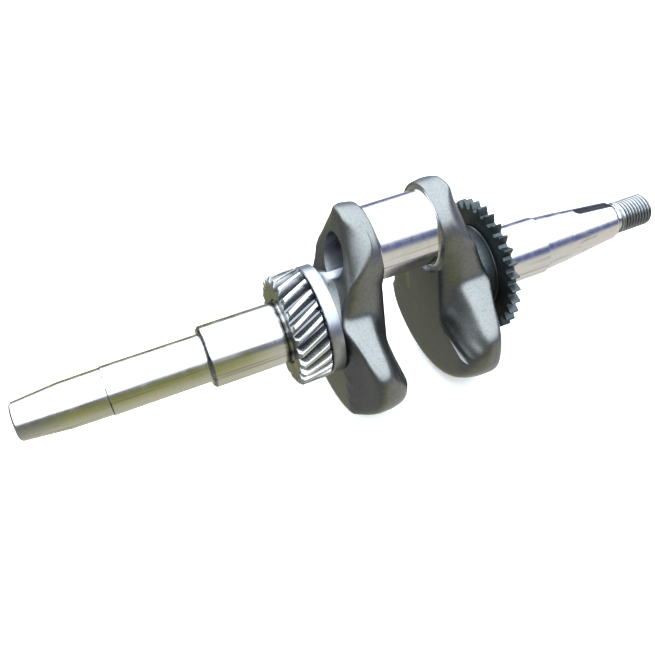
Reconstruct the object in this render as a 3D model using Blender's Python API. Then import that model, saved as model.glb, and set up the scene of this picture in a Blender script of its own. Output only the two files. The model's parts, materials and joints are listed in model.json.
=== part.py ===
"""Crankshaft of a single-cylinder small engine with its two pressed-on gears.

+X runs along the main axis from the power take-off end to the flywheel end, +Z points from the
main axis to the crankpin, and the origin is on the main axis at the middle of the crankpin.
Everything is in metres.
"""

import math

import bmesh
import bpy
from mathutils import Matrix, Vector

MM = 0.001
TURN = 2 * math.pi

# Clearance left where two pieces seat on each other.
SEAT_GAP = 0.3 * MM

# Crank geometry.
THROW = 27.0 * MM
PIN_R = 15.0 * MM
PIN_LENGTH = 25.6 * MM
PIN_FILLET = 1.5 * MM
BORE_R = 9.0 * MM
BORE_DEPTH_PAST_MIDDLE = 8.0 * MM
DRILL_TIP = 3.0 * MM
DRILL_POINT_SHARE = 0.05
# The drilling's cutter starts this share of the hub's rise outside the web.
BORE_START_SHARE = 0.8

# Webs: a head round the crankpin, a neck, and a counterweight below the main axis.
TAKEOFF_WEB_INNER_X = 12.3 * MM
FLYWHEEL_WEB_INNER_X = 11.7 * MM
HEAD_R = PIN_R + 3.6 * MM
THRUST_FACE_R = HEAD_R + 0.4 * MM
HEAD_OUTER_X = 25.3 * MM
HEAD_SLOPE = 0.14
NECK_EXTRA_SLOPE = 0.21
NECK_BEND_ROUND = 2.0 * MM
HEAD_BEVEL_X = 24.0 * MM
HEAD_BEVEL_ACROSS = 1.075
HEAD_BEVEL_UP = 0.877
NECK_HALF = 18.0 * MM
WEIGHT_R = 44.0 * MM
WEIGHT_HALF = 38.5 * MM
WEIGHT_OUTER_X = 26.6 * MM
SHOULDER_Y = 24.0 * MM
SHOULDER_Z = 3.4 * MM
SHOULDER_SLOPE = 0.87
SHOULDER_DROP = 18.0 * MM
SHOULDER_LOW_SLOPE = 0.35
SHOULDER_BEVEL_X = 20.2 * MM
INNER_BEVEL = 3.5 * MM
OUTER_ROUND = 1.8 * MM
OUTLINE_BLEND = 2.0 * MM
HUB_R = 18.9 * MM
HUB_RISE = 6.5 * MM
HUB_FADE = 10.1 * MM
WEB_CENTRE_Z = -8.0 * MM
FACE_BLEND = 0.5 * MM
# The inner bevel's loops: share of its inset, how far the shoulders drop, share of its depth.
INNER_BEVEL_LOOPS = ((1.0, 1.0, 0.0), (0.6, 0.85, 0.15), (0.25, 0.66, 0.45))
OUTER_ROUND_TURNS = (0.0, 30.0, 60.0, 90.0)
FACE_LOOP_SHARES = (0.88, 0.75, 0.6, 0.45, 0.3, 0.15)

# Collars outside the webs, which the gears stand against.
TIMING_COLLAR_R = 22.4 * MM
TIMING_COLLAR_X = 38.2 * MM
# The timing collar's back slopes in to the hub over what is left of the hub's rise.
COLLAR_BACK_SHARE = 0.9
GOVERNOR_COLLAR_R = 18.0 * MM
GOVERNOR_COLLAR_X = 36.0 * MM

# Shaft, power take-off side (distances from the origin).
JOURNAL_R = 12.5 * MM
GEAR_SEAT_R = JOURNAL_R + 0.5 * MM
TAKEOFF_JOURNAL_X = 83.2 * MM
TAKEOFF_SHAFT_R = 9.75 * MM
TAKEOFF_STEP_X = 121.4 * MM
TAKEOFF_REDUCED_R = 9.45 * MM
TAKEOFF_TAPER_X = 137.5 * MM
TAKEOFF_TAPER_R = 9.2 * MM
TAKEOFF_END_X = 155.6 * MM
TAKEOFF_END_R = 7.6 * MM
EDGE_CHAMFER = 0.8 * MM

# Shaft, flywheel side.
FLYWHEEL_JOURNAL_X = 65.8 * MM
TAPER_START_R = 11.9 * MM
TAPER_STEP_X = 78.9 * MM
TAPER_STEP_R = 10.75 * MM
TAPER_END_X = 104.0 * MM
TAPER_END_R = 8.2 * MM
THREAD_R = 7.0 * MM
THREAD_PITCH = 1.5 * MM
THREAD_DEPTH = 0.9 * MM
THREAD_START_X = 107.0 * MM
THREAD_END_X = 122.8 * MM
THREAD_RELIEF_R = 6.1 * MM
KEYWAY_WIDTH = 4.5 * MM
KEYWAY_DEPTH = 2.6 * MM
KEYWAY_START_X = 85.0 * MM

# Helical timing gear.
TIMING_TEETH = 25
TIMING_TIP_R = 22.8 * MM
TIMING_TOOTH_DEPTH = 3.8 * MM
TIMING_WIDTH = 12.8 * MM
TIMING_HELIX = math.radians(28.0)
TIMING_END_CHAMFER = 1.0 * MM
TIMING_END_SHARE = 0.6
TIMING_TIP_SHARE = 0.24
TIMING_ROOT_SHARE = 0.24

# Thin spur gear that drives the governor.
GOVERNOR_TEETH = 31
GOVERNOR_TIP_R = 28.2 * MM
GOVERNOR_TOOTH_DEPTH = 3.5 * MM
GOVERNOR_WIDTH = 4.5 * MM
GOVERNOR_HUB_R = GEAR_SEAT_R + 4.0 * MM
GOVERNOR_HUB_STEP = 0.6 * MM
GOVERNOR_HUB_CHAMFER = 0.5 * MM
GOVERNOR_TIP_SHARE = 0.14
GOVERNOR_ROOT_SHARE = 0.3
FACE_RING_INSET = 1.0 * MM

# Facets.
WEB_STEPS = 96
SHAFT_STEPS = 40
BORE_STEPS = 40
PIN_STEPS = 56
THRUST_STEPS = 64
FILLET_STEPS = 4
KEYWAY_END_STEPS = 12
HELIX_STEPS = 4
OVERLAP = 6.0 * MM


def clear_scene():
    for old in list(bpy.data.objects):
        bpy.data.objects.remove(old, do_unlink=True)


def metal(name, colour, roughness):
    """A Principled material for bare or blackened metal."""
    material = bpy.data.materials.new(name)
    material.use_nodes = True
    shader = material.node_tree.nodes["Principled BSDF"]
    shader.inputs["Base Color"].default_value = (*colour, 1.0)
    shader.inputs["Metallic"].default_value = 1.0
    shader.inputs["Roughness"].default_value = roughness
    return material


def new_object(name, mesh_builder, material=None):
    """An object named name, whose mesh is what mesh_builder leaves in the bmesh it is given."""
    mesh = bpy.data.meshes.new(name)
    work = bmesh.new()
    mesh_builder(work)
    bmesh.ops.recalc_face_normals(work, faces=work.faces)
    work.to_mesh(mesh)
    work.free()
    mesh.shade_smooth()
    mesh.set_sharp_from_angle(angle=math.radians(30))
    if material is not None:
        mesh.materials.append(material)
    thing = bpy.data.objects.new(name, mesh)
    bpy.context.scene.collection.objects.link(thing)
    return thing


def loft(work, loops):
    """Joins the loops of points, in order, with faces, and closes the first and the last."""
    rings = [[work.verts.new(point) for point in loop] for loop in loops]
    for low, high in zip(rings, rings[1:]):
        count = len(low)
        for i in range(count):
            after = (i + 1) % count
            work.faces.new((low[i], low[after], high[after], high[i]))
    work.faces.new(rings[0])
    work.faces.new(rings[-1])


def turned(work, profile, steps=SHAFT_STEPS, centre_z=0.0):
    """A turned solid about an axis along X; profile is a list of (x, radius)."""
    angles = [TURN * i / steps for i in range(steps)]
    loops = [
        [(x, r * math.cos(a), centre_z + r * math.sin(a)) for a in angles] for x, r in profile
    ]
    loft(work, loops)


def soft_minimum(values, blend):
    """The least of the values, with the corners between them rounded by about blend."""
    least = min(values)
    return least - blend * math.log(sum(math.exp((least - v) / blend) for v in values))


def soft_maximum(values, blend):
    return -soft_minimum([-v for v in values], blend)


def ray_to_circle(direction, centre_z, radius):
    """How far a ray from the web's centre goes before it leaves the circle, or 0 if it misses."""
    along = direction.y * (centre_z - WEB_CENTRE_Z)
    square = radius**2 - (centre_z - WEB_CENTRE_Z) ** 2 + along**2
    return max(along + math.sqrt(square), 0.0) if square > 0 else 0.0


def outline_radius(angle, inset, head_inset, drop):
    """The web's edge from its centre at this angle about X, measured from +Y towards +Z.

    inset pulls the whole edge in and head_inset the head's edge. drop goes from 0 where the
    counterweight's shoulders are full to 1 at the inner face, where they are cut away.
    """
    direction = Vector((abs(math.cos(angle)), math.sin(angle)))
    far = 4 * WEIGHT_R
    sideways = max(direction.x, 1e-6)
    head = ray_to_circle(direction, THROW, HEAD_R - head_inset)
    neck_side = (NECK_HALF - inset) / sideways
    neck_length = THROW - WEB_CENTRE_Z if direction.y > 0 else HUB_R
    neck = min(neck_side, neck_length / max(abs(direction.y), 1e-6))
    slope = SHOULDER_SLOPE + (SHOULDER_LOW_SLOPE - SHOULDER_SLOPE) * drop
    height = SHOULDER_Z - SHOULDER_DROP * drop - 0.4 * inset
    rise = direction.y + slope * direction.x
    shoulder = (height + slope * SHOULDER_Y - WEB_CENTRE_Z) / rise if rise > 1e-6 else far
    flank = (WEIGHT_HALF - 2 * inset) / sideways
    rim = ray_to_circle(direction, 0.0, WEIGHT_R - inset)
    weight = soft_minimum([min(shoulder, far), min(flank, far), rim], OUTLINE_BLEND)
    return soft_maximum([head, neck, weight], 0.6 * OUTLINE_BLEND)


def outer_face_x(y, z):
    """Distance of the web's outer face from the crankpin's middle: full across the hub, hollowed
    towards the counterweight's flanks, and sloping in up the neck and head, whose two upper
    corners are cut back by bevels."""
    hollow = min(math.exp((HUB_R - abs(y)) / HUB_FADE), 1.0)
    weight = WEIGHT_OUTER_X + HUB_RISE * hollow
    below_pin = NECK_BEND_ROUND * math.log1p(math.exp((THROW - z) / NECK_BEND_ROUND))
    head = HEAD_OUTER_X + HEAD_SLOPE * (THROW - z) + NECK_EXTRA_SLOPE * below_pin
    bevel = HEAD_BEVEL_X + HEAD_BEVEL_ACROSS * (HEAD_R - abs(y)) - HEAD_BEVEL_UP * (z - THROW)
    return soft_minimum([weight, head, bevel], FACE_BLEND)


def web_loops(inner_x):
    """Loops from the inner face of the +X web, over its edge, to the middle of its outer face."""
    angles = [TURN * i / WEB_STEPS for i in range(WEB_STEPS)]

    def loop(inset, drop, place_x, shrink=1.0):
        points = []
        for a in angles:
            reach = outline_radius(a, inset, 0.3 * inset, drop) * shrink
            y = reach * math.cos(a)
            z = WEB_CENTRE_Z + reach * math.sin(a)
            points.append((place_x(y, z), y, z))
        return points

    def level(share):
        return lambda y, z: inner_x + share * (SHOULDER_BEVEL_X - inner_x)

    def behind_outer(depth, furthest=1.0):
        return lambda y, z: min(outer_face_x(y, z) - depth, furthest)

    loops = [loop(inset * INNER_BEVEL, drop, level(x)) for inset, drop, x in INNER_BEVEL_LOOPS]
    loops.append(loop(0.0, 0.0, behind_outer(1.2 * OUTER_ROUND, SHOULDER_BEVEL_X)))
    for turn in OUTER_ROUND_TURNS:
        inset = OUTER_ROUND * (1 - math.cos(math.radians(turn)))
        depth = OUTER_ROUND * (1 - math.sin(math.radians(turn)))
        loops.append(loop(inset, 0.0, behind_outer(depth)))
    for shrink in FACE_LOOP_SHARES:
        loops.append(loop(OUTER_ROUND, 0.0, outer_face_x, shrink))
    return loops


def mirrored(loops):
    return [[(-x, y, z) for x, y, z in loop] for loop in loops]


def takeoff_profile():
    """(x, radius) of the shaft on the power take-off side, from its end to inside the web."""
    c = EDGE_CHAMFER
    seat = TIMING_COLLAR_X + SEAT_GAP + TIMING_WIDTH
    return [
        (-TAKEOFF_END_X, TAKEOFF_END_R - c),
        (-TAKEOFF_END_X + c, TAKEOFF_END_R),
        (-TAKEOFF_TAPER_X, TAKEOFF_TAPER_R),
        (-TAKEOFF_STEP_X - 0.3 * c, TAKEOFF_REDUCED_R),
        (-TAKEOFF_STEP_X, TAKEOFF_SHAFT_R),
        (-TAKEOFF_JOURNAL_X, TAKEOFF_SHAFT_R),
        (-TAKEOFF_JOURNAL_X, JOURNAL_R - 1.2 * c),
        (-TAKEOFF_JOURNAL_X + 1.2 * c, JOURNAL_R),
        (-seat + 0.2 * c, JOURNAL_R),
        (-seat + c, GEAR_SEAT_R),
        (-TIMING_COLLAR_X, GEAR_SEAT_R),
        (-TIMING_COLLAR_X, TIMING_COLLAR_R - 0.5 * c),
        (-TIMING_COLLAR_X + 0.5 * c, TIMING_COLLAR_R),
        (-WEIGHT_OUTER_X - HUB_RISE, TIMING_COLLAR_R),
        (-WEIGHT_OUTER_X - COLLAR_BACK_SHARE * HUB_RISE, HUB_R),
        (-WEIGHT_OUTER_X + OVERLAP, HUB_R - 2 * c),
    ]


def thread_profile_radius(x, angle):
    """Radius of the screw thread at x and at this angle about the axis, fading in at its start
    and cut back by a chamfer at its end."""
    turns = (x - THREAD_START_X) / THREAD_PITCH - angle / TURN
    wave = abs(2 * (turns - math.floor(turns)) - 1)
    run_in = min(max((x - THREAD_START_X) / THREAD_PITCH, 0.0), 1.0)
    chamfer = max(x - (THREAD_END_X - 1.5 * EDGE_CHAMFER), 0.0)
    return min(THREAD_R - THREAD_DEPTH * wave * run_in, THREAD_R - chamfer)


def flywheel_loops():
    """Loops of the shaft on the flywheel side, from inside the web to the end of its thread."""
    c = EDGE_CHAMFER
    seat = GOVERNOR_COLLAR_X + SEAT_GAP + GOVERNOR_WIDTH
    profile = [
        (WEIGHT_OUTER_X - OVERLAP, GOVERNOR_COLLAR_R - 2 * c),
        (WEIGHT_OUTER_X + 0.5 * HUB_RISE, GOVERNOR_COLLAR_R),
        (GOVERNOR_COLLAR_X - 0.5 * c, GOVERNOR_COLLAR_R),
        (GOVERNOR_COLLAR_X, GOVERNOR_COLLAR_R - 0.5 * c),
        (GOVERNOR_COLLAR_X, GEAR_SEAT_R),
        (seat - c, GEAR_SEAT_R),
        (seat - 0.2 * c, JOURNAL_R),
        (FLYWHEEL_JOURNAL_X - 0.5 * c, JOURNAL_R),
        (FLYWHEEL_JOURNAL_X, TAPER_START_R),
        (TAPER_STEP_X, TAPER_STEP_R + 0.15 * c),
        (TAPER_STEP_X, TAPER_STEP_R),
        (TAPER_END_X - c, TAPER_END_R + 0.1 * c),
        (TAPER_END_X, TAPER_END_R - 0.3 * c),
        (TAPER_END_X + c, THREAD_R + 0.2 * c),
        (TAPER_END_X + 1.2 * c, THREAD_RELIEF_R + 0.5 * c),
        (THREAD_START_X - 1.2 * c, THREAD_RELIEF_R + 0.5 * c),
    ]
    angles = [TURN * i / SHAFT_STEPS for i in range(SHAFT_STEPS)]
    loops = [[(x, r * math.cos(a), r * math.sin(a)) for a in angles] for x, r in profile]
    steps = 3 * round((THREAD_END_X - THREAD_START_X) / THREAD_PITCH)
    for i in range(steps + 1):
        x = THREAD_START_X + (THREAD_END_X - THREAD_START_X) * i / steps
        radii = [thread_profile_radius(x, a) for a in angles]
        loops.append([(x, r * math.cos(a), r * math.sin(a)) for r, a in zip(radii, angles)])
    return loops


def pin_profile():
    """(x, radius) about the crankpin's axis, with a fillet at each thrust face."""
    half = PIN_LENGTH / 2
    arc = []
    for i in range(FILLET_STEPS + 1):
        turn = math.pi / 2 * i / FILLET_STEPS
        x = half - PIN_FILLET + PIN_FILLET * math.sin(turn)
        arc.append((x, PIN_R + PIN_FILLET * (1 - math.cos(turn))))
    right = arc + [(half + OVERLAP, PIN_R + PIN_FILLET)]
    return [(-x, r) for x, r in reversed(right)] + right


def bore_profile():
    """(x, radius) of the drilled hole along the crankpin, open at the take-off side."""
    return [
        (-WEIGHT_OUTER_X - BORE_START_SHARE * HUB_RISE, BORE_R),
        (BORE_DEPTH_PAST_MIDDLE, BORE_R),
        (BORE_DEPTH_PAST_MIDDLE + DRILL_TIP, DRILL_POINT_SHARE * BORE_R),
    ]


def build_keyway(work):
    """A round-ended slot along the taper's top, open towards the thread."""
    half = KEYWAY_WIDTH / 2
    length = TAPER_END_X - KEYWAY_START_X + OVERLAP
    outline = [(length, half), (length, -half)]
    for i in range(KEYWAY_END_STEPS + 1):
        turn = -math.pi / 2 - math.pi * i / KEYWAY_END_STEPS
        outline.append((half + half * math.cos(turn), half * math.sin(turn)))
    slope = (TAPER_STEP_R - TAPER_END_R) / (TAPER_END_X - TAPER_STEP_X)
    start_r = TAPER_STEP_R - slope * (KEYWAY_START_X - TAPER_STEP_X)
    height = 3 * KEYWAY_DEPTH
    loft(work, [[(x, y, z) for x, y in outline] for z in (0.0, height)])
    tilt = Matrix.Rotation(math.atan(slope), 4, "Y")
    shift = Matrix.Translation((KEYWAY_START_X, 0.0, start_r - KEYWAY_DEPTH))
    bmesh.ops.transform(work, matrix=shift @ tilt, verts=work.verts)


def helper(thing):
    """Hides an object that only cuts or joins another."""
    thing.hide_render = True
    thing.display_type = "WIRE"
    return thing


def add_boolean(target, other, operation):
    modifier = target.modifiers.new(other.name, "BOOLEAN")
    modifier.operation = operation
    modifier.solver = "EXACT"
    modifier.object = helper(other)


def build_crankshaft(material):
    """The one-piece forged and ground crankshaft."""
    shaft = new_object("crankshaft_forging", lambda w: loft(w, web_loops(FLYWHEEL_WEB_INNER_X)), material)
    parts = [
        ("take_off_web", lambda w: loft(w, mirrored(web_loops(TAKEOFF_WEB_INNER_X)))),
        ("take_off_shaft", lambda w: turned(w, takeoff_profile())),
        ("flywheel_shaft", lambda w: loft(w, flywheel_loops())),
    ]
    for name, builder in parts:
        add_boolean(shaft, new_object(name, builder), "UNION")
    face = PIN_LENGTH / 2
    thrust = [(-face, THRUST_FACE_R), (face, THRUST_FACE_R)]
    clearance = new_object("thrust_face_cut", lambda w: turned(w, thrust, THRUST_STEPS, THROW))
    add_boolean(shaft, clearance, "DIFFERENCE")
    pin = new_object("crankpin", lambda w: turned(w, pin_profile(), PIN_STEPS, THROW))
    add_boolean(shaft, pin, "UNION")
    bore = new_object("crankpin_bore", lambda w: turned(w, bore_profile(), BORE_STEPS, THROW))
    add_boolean(shaft, bore, "DIFFERENCE")
    add_boolean(shaft, new_object("keyway_cut", build_keyway), "DIFFERENCE")
    return shaft


def tooth_outline(teeth, tip_r, depth, tip_share, root_share):
    """(radius, angle) points round a gear: each tooth has a flat tip and a flat root."""
    pitch = TURN / teeth
    root_r = tip_r - depth
    points = []
    for i in range(teeth):
        centre = i * pitch
        for radius, offset in (
            (root_r, -0.5 + root_share / 2),
            (root_r + 0.5 * depth, -0.25 - 0.02),
            (tip_r, -tip_share / 2),
            (tip_r, tip_share / 2),
            (root_r + 0.5 * depth, 0.25 + 0.02),
            (root_r, 0.5 - root_share / 2),
        ):
            points.append((radius, centre + offset * pitch))
    return points


def gear_ring(outline, x, twist, radius_limit):
    """The outline's points at x, turned by twist, with no radius over radius_limit."""
    points = []
    for radius, angle in outline:
        r = min(radius, radius_limit)
        points.append((x, r * math.cos(angle + twist), r * math.sin(angle + twist)))
    return points


def gear_blank(work, outline, stations, face_r, bore_r):
    """A toothed ring: over its teeth along stations of (x, twist, radius limit), in across its
    far face by way of a circle of face_r, back through its bore, and out to where it began."""
    loops = [gear_ring(outline, *station) for station in stations]
    near_x, far_x, far_twist = stations[0][0], stations[-1][0], stations[-1][1]
    loops.append(gear_ring(outline, far_x, far_twist, face_r))
    loops.append(gear_ring(outline, far_x, 0.0, bore_r))
    loops.append(gear_ring(outline, near_x, 0.0, bore_r))
    rings = [[work.verts.new(point) for point in loop] for loop in loops]
    count = len(outline)
    for low, high in zip(rings, rings[1:] + rings[:1]):
        for i in range(count):
            after = (i + 1) % count
            work.faces.new((low[i], low[after], high[after], high[i]))


def build_timing_gear(material):
    """The helical gear that drives the camshaft, pressed on against the take-off side collar."""
    right = -TIMING_COLLAR_X - SEAT_GAP
    left = right - TIMING_WIDTH
    chamfer = TIMING_END_CHAMFER
    root_r = TIMING_TIP_R - TIMING_TOOTH_DEPTH
    shares = (TIMING_TIP_SHARE, TIMING_ROOT_SHARE)
    outline = tooth_outline(TIMING_TEETH, TIMING_TIP_R, TIMING_TOOTH_DEPTH, *shares)
    end_r = root_r + TIMING_END_SHARE * TIMING_TOOTH_DEPTH
    stations = [(left, 0.0, end_r)]
    for i in range(HELIX_STEPS + 1):
        x = left + chamfer + (TIMING_WIDTH - 2 * chamfer) * i / HELIX_STEPS
        stations.append((x, 0.0, TIMING_TIP_R))
    stations.append((right, 0.0, end_r))
    # Seen from -Y the teeth climb towards +Z as x grows: a left-hand helix.
    twist_rate = -math.tan(TIMING_HELIX) / TIMING_TIP_R
    stations = [(x, twist_rate * (x - left), cap_r) for x, _, cap_r in stations]
    sizes = (root_r - FACE_RING_INSET, GEAR_SEAT_R + SEAT_GAP)
    return new_object(
        "timing_gear", lambda w: gear_blank(w, outline, stations, *sizes), material
    )


def build_governor_gear(material):
    """The thin spur gear that drives the governor, pressed on against the flywheel side collar."""
    left = GOVERNOR_COLLAR_X + SEAT_GAP
    right = left + GOVERNOR_WIDTH
    depth = GOVERNOR_TOOTH_DEPTH
    shares = (GOVERNOR_TIP_SHARE, GOVERNOR_ROOT_SHARE)
    outline = tooth_outline(GOVERNOR_TEETH, GOVERNOR_TIP_R, depth, *shares)
    root_r = GOVERNOR_TIP_R - depth
    recess = left + GOVERNOR_HUB_STEP
    stations = [
        (left, 0.0, GOVERNOR_HUB_R),
        (recess, 0.0, GOVERNOR_HUB_R + GOVERNOR_HUB_CHAMFER),
        (recess, 0.0, root_r),
        (recess, 0.0, GOVERNOR_TIP_R),
        (right, 0.0, GOVERNOR_TIP_R),
    ]
    sizes = (root_r - FACE_RING_INSET, GEAR_SEAT_R + SEAT_GAP)
    return new_object(
        "governor_drive_gear", lambda w: gear_blank(w, outline, stations, *sizes), material
    )


clear_scene()
build_crankshaft(metal("ground and forged steel", (0.42, 0.41, 0.38), 0.3))
build_timing_gear(metal("hobbed gear steel", (0.62, 0.62, 0.6), 0.25))
build_governor_gear(metal("black oxide steel", (0.05, 0.06, 0.06), 0.45))
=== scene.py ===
"""Looks of the small-engine crankshaft: finer meshes, materials, soft light and the camera.

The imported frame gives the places. +X runs along the main axis towards the flywheel end, +Z from
the main axis to the crankpin. Metres.
"""

import json
import math

import bpy
import numpy as np
from mathutils import Matrix, Vector, noise


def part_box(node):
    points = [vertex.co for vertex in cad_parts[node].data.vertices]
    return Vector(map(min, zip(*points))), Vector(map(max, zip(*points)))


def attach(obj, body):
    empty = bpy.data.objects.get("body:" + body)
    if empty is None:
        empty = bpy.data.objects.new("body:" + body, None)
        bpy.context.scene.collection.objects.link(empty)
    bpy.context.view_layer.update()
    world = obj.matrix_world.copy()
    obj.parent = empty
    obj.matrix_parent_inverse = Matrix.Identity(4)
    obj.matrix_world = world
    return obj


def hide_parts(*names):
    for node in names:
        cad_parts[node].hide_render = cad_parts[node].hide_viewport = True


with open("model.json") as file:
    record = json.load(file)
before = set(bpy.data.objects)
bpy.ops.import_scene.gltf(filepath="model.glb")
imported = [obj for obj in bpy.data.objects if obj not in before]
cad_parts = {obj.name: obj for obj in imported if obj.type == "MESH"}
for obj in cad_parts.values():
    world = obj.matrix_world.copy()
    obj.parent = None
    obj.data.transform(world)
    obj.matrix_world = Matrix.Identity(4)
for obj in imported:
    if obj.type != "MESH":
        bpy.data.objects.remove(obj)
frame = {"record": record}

MM = 0.001
TURN = 2 * math.pi
AXIS_R = 0.02 * MM  # where a turned profile starts and ends, just off its axis
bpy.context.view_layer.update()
MOUNTS = {m["name"]: m["pos_m"] for m in frame["record"]["mounts"]}
FORGING_LOW, FORGING_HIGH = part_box("crankshaft_forging")
TIMING_LOW, TIMING_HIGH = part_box("timing_gear")
GOVERNOR_LOW, GOVERNOR_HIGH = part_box("governor_drive_gear")

# Places and sizes that the frame gives.
TAKEOFF_END_X = -FORGING_LOW.x
THREAD_END_X = FORGING_HIGH.x
WEIGHT_R = -FORGING_LOW.z
WEIGHT_HALF = FORGING_HIGH.y + 0.45 * MM
PIN_HALF = MOUNTS["flywheel_thrust_face"][0]
TIMING_TIP_R = TIMING_HIGH.z
GOVERNOR_TIP_R = GOVERNOR_HIGH.z
SEAT_GAP = 0.3 * MM
TIMING_COLLAR_X = -TIMING_HIGH.x - SEAT_GAP
GOVERNOR_COLLAR_X = GOVERNOR_LOW.x - SEAT_GAP

# The crank.
THROW = 27.0 * MM
PIN_R = 15.0 * MM
PIN_FILLET = 1.5 * MM
BORE_R = 9.0 * MM
BORE_CHAMFER = 0.7 * MM
BORE_START_SHARE = 0.8
BORE_BOTTOM_X = 8.0 * MM
DRILL_TIP = 3.0 * MM
CONE_LEAD = 1.0 * MM
CONE_LENGTH = BORE_CHAMFER + 3.0 * MM
CONE_FLARE = 2.0 * MM
CONE_STEPS = 96

# Webs.
TAKEOFF_WEB_INNER_X = 12.3 * MM
FLYWHEEL_WEB_INNER_X = 11.7 * MM
THRUST_FACE_R = 19.0 * MM
HEAD_R = FORGING_HIGH.z - THROW
HEAD_OUTER_X = 25.3 * MM
HEAD_SLOPE = 0.14
NECK_EXTRA_SLOPE = 0.21
NECK_BEND_ROUND = 2.0 * MM
HEAD_BEVEL_X = 24.0 * MM
HEAD_BEVEL_ACROSS = 1.075
HEAD_BEVEL_UP = 0.877
NECK_HALF = 18.0 * MM
WEIGHT_OUTER_X = 26.6 * MM
SHOULDER_Y = 24.0 * MM
SHOULDER_Z = 3.4 * MM
SHOULDER_SLOPE = 0.87
SHOULDER_DROP = 18.0 * MM
SHOULDER_LOW_SLOPE = 0.35
SHOULDER_BEVEL_X = 20.2 * MM
INNER_BEVEL = 3.5 * MM
OUTER_ROUND = 1.8 * MM
OUTLINE_BLEND = 2.0 * MM
HUB_R = 18.9 * MM
HUB_RISE = 6.5 * MM
HUB_FADE = 10.1 * MM
WEB_CENTRE_Z = -8.0 * MM
SCALE_RELIEF = 0.16 * MM
WIDE_NOISE = 130.0
FINE_NOISE = 520.0
FORGING_SOFTNESS = 9
WEB_OVERLAP = 6.0 * MM
PIN_OVERLAP = 5.0 * MM

# Loops of a web: (share of the inner bevel, drop, level) for its bevel, turns in degrees for its
# outer round, and how far in each loop of its two faces lies.
INNER_BEVEL_LOOPS = ((0.6, 0.85, 0.15), (0.25, 0.55, 0.45))
OUTER_ROUND_TURNS = (0.0, 30.0, 60.0, 90.0)
INNER_FACE_SHARES = (0.02, 0.5, 1.0)
OUTER_FACE_SHARES = (0.88, 0.75, 0.6, 0.45, 0.3, 0.15, 0.02)

# Shaft.
TIMING_COLLAR_R = 22.4 * MM
COLLAR_BACK_SHARE = 0.9
COLLAR_RUN_ON = 1.5
GOVERNOR_COLLAR_R = 18.0 * MM
JOURNAL_R = 12.5 * MM
GEAR_SEAT_R = 13.0 * MM
TAKEOFF_JOURNAL_X = 83.2 * MM
TAKEOFF_SHAFT_R = 9.75 * MM
TAKEOFF_STEP_X = 121.4 * MM
TAKEOFF_REDUCED_R = 9.45 * MM
TAKEOFF_TAPER_X = 137.5 * MM
TAKEOFF_TAPER_R = 9.2 * MM
TAKEOFF_END_R = 7.6 * MM
FLYWHEEL_JOURNAL_X = 65.8 * MM
TAPER_START_R = 11.9 * MM
TAPER_STEP_X = 78.9 * MM
TAPER_STEP_R = 10.75 * MM
TAPER_END_X = 104.0 * MM
TAPER_END_R = 8.2 * MM
THREAD_R = 7.0 * MM
THREAD_PITCH = 1.5 * MM
THREAD_DEPTH = 0.9 * MM
THREAD_START_X = 107.0 * MM
THREAD_RELIEF_R = 6.4 * MM
KEYWAY_WIDTH = 4.5 * MM
KEYWAY_DEPTH = 2.6 * MM
KEYWAY_START_X = 85.0 * MM
KEYWAY_CUT_HEIGHT = 8.0 * MM
EDGE = 0.8 * MM
KEYWAY_END_X = THREAD_START_X - 1.4 * EDGE
CORNER_SOFTENING = 0.12 * MM

# Gears.
TIMING_TEETH = 25
TIMING_TOOTH_DEPTH = 3.8 * MM
TIMING_HELIX = math.radians(28.0)
GOVERNOR_TEETH = 31
GOVERNOR_TOOTH_DEPTH = 3.5 * MM
GOVERNOR_HUB_R = 17.0 * MM
TIMING_TIP_SHARE = 0.3
TIMING_ROOT_SHARE = 0.24
TIMING_TOOTH_CHAMFER = 0.9 * MM
GOVERNOR_TIP_SHARE = 0.08
GOVERNOR_ROOT_SHARE = 0.34
GOVERNOR_TOOTH_CHAMFER = 0.25 * MM
GOVERNOR_FACE_STEP = 0.6 * MM
GEAR_FACE_INSET = 1.0 * MM
GEAR_BORE_CHAMFER = 0.5 * MM
FLANK_BLEND = 0.06

# Finer facets than the frame's.
ROUND_STEPS = 192
WEB_ROUND_STEPS = 256
THREAD_STEPS = 128
WEB_SECTION_STEPS = 112
PIN_FILLET_STEPS = 9
KEYWAY_END_STEPS = 25
TIMING_SLICES = 24
SHARP_ANGLE = math.radians(32)

# Stage, light and camera. The zones are where one side of the studio passes into the next along X.
FLOOR_REACH = 3.0
FLOOR_GAP = 0.5 * MM
FLOOR_GLOW = 0.3
BACKDROP_R = 2.6
BACKDROP_COVE = 0.6
BACKDROP_HEIGHT = 3.5
BACKDROP_STEPS = 96
COVE_STEPS = 13
SHADED_ZONE = (-0.34, -0.22)
NAVY_ZONE = (0.10, 0.30)
CAMERA_LENS = 42.35
CAMERA_SENSOR = 36.0
CAMERA_NEAR = 0.01
CAMERA_ANGLES = (-17.66, 38.0, -8.04)  # azimuth, elevation and roll, degrees
CAMERA_DISTANCE = 323.07 * MM
CAMERA_TARGET = (-31.9, 1.8, -10.2)  # mm


# ---------------------------------------------------------------- materials


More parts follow.
